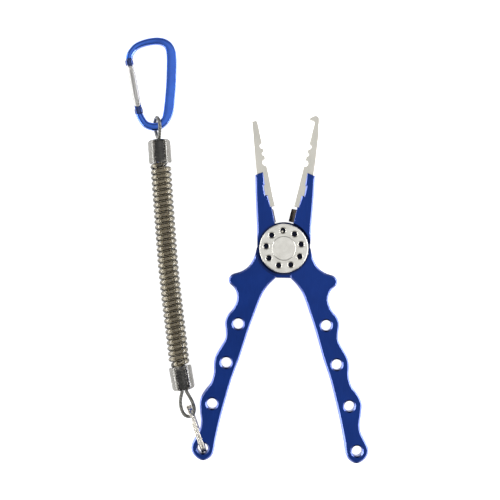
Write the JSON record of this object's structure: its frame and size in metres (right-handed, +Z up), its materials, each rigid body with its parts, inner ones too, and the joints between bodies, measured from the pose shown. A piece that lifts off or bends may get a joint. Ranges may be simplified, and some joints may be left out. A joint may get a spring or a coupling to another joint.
{
  "type": "fishing pliers",
  "caption": "Sprung long-nose pliers with cutters and crimping notches, on a coiled lanyard with a split ring and snap hook.",
  "frame": {"origin": "on the pivot axis, at the flat back of the pivot nut, which rests on the surface", "axes": "+Y towards the jaws, +X to the right of the tool seen from its front disc, +Z up along the pivot axis"},
  "size_m": [0.1332, 0.2337, 0.0129],
  "materials": {
    "anodised_blue": "satin anodised",
    "hook_blue": "gloss anodised",
    "stainless": "satin",
    "polished_steel": "polished",
    "polished_aluminium": "polished",
    "carbide": "ground",
    "bronze": "plain",
    "coated_wire": "gloss",
    "smoke_cord": "gloss, translucent",
    "smoke_sleeve": "gloss, translucent"
  },
  "bodies": {
    "half_b": {"handle_b": "anodised_blue", "jaw_hooked": "stainless", "jaw_screws_b": "stainless", "cutter_b": "carbide", "cutter_screws_b": "stainless", "pivot_disc": "stainless", "pivot_screw": "stainless", "pivot_nut": "stainless", "pivot_bush": "bronze", "lap_washer": "bronze", "return_spring": "polished_steel", "stop_pin": "polished_steel"},
    "half_a": {"handle_a": "anodised_blue", "jaw_plain": "stainless", "jaw_screws_a": "stainless", "cutter_a": "carbide", "cutter_screws_a": "stainless"},
    "ring": {"split_ring": "polished_steel"},
    "lanyard_low": {"lower_eye": "coated_wire", "lower_crimp": "polished_aluminium", "lower_sleeve": "smoke_sleeve", "coil": "smoke_cord"},
    "lanyard_top": {"upper_sleeve": "smoke_sleeve", "upper_crimp": "polished_aluminium", "upper_eye": "coated_wire"},
    "hook": {"hook_body": "hook_blue", "gate_rivet": "polished_steel"},
    "gate": {"hook_gate": "polished_aluminium", "gate_spring": "polished_steel", "gate_plunger": "polished_steel", "latch_pin": "polished_steel"}
  },
  "joints": [
    {"name": "jaw_close", "type": "hinge", "parent": "half_b", "child": "half_a", "pos_m": [0, 0, 0.006], "axis": [0, 0, -1], "range_deg": [0, 25.4], "stiffness_Nm_per_rad": 0.25, "springref_deg": -34.38, "deforming": ["return_spring"]},
    {"name": "ring_swing", "type": "hinge", "parent": "half_b", "child": "ring", "pos_m": [-0.04417, -0.10898, 0.006], "axis": [0, 0, 1], "range_deg": [0, 75]},
    {"name": "eye_swing", "type": "hinge", "parent": "ring", "child": "lanyard_low", "pos_m": [-0.05199, -0.08629, 0.006], "axis": [0, 0, 1], "range_deg": [-6, 35]},
    {"name": "coil_stretch", "type": "slide", "parent": "lanyard_low", "child": "lanyard_top", "axis": [-0.0951, 0.9955, 0], "range_m": [0, 0.25], "stiffness_N_per_m": 12, "deforming": ["coil"]},
    {"name": "hook_swing", "type": "hinge", "parent": "lanyard_top", "child": "hook", "pos_m": [-0.0707, 0.06662, 0.0056], "axis": [0.9658, 0.2586, -0.0181], "range_deg": [0, 100]},
    {"name": "gate_open", "type": "hinge", "parent": "hook", "child": "gate", "pos_m": [-0.0802, 0.07967, 0.00471], "axis": [0, -0.068, -0.9977], "range_deg": [0, 30], "stiffness_Nm_per_rad": 0.02, "springref_deg": -28.65}
  ]
}
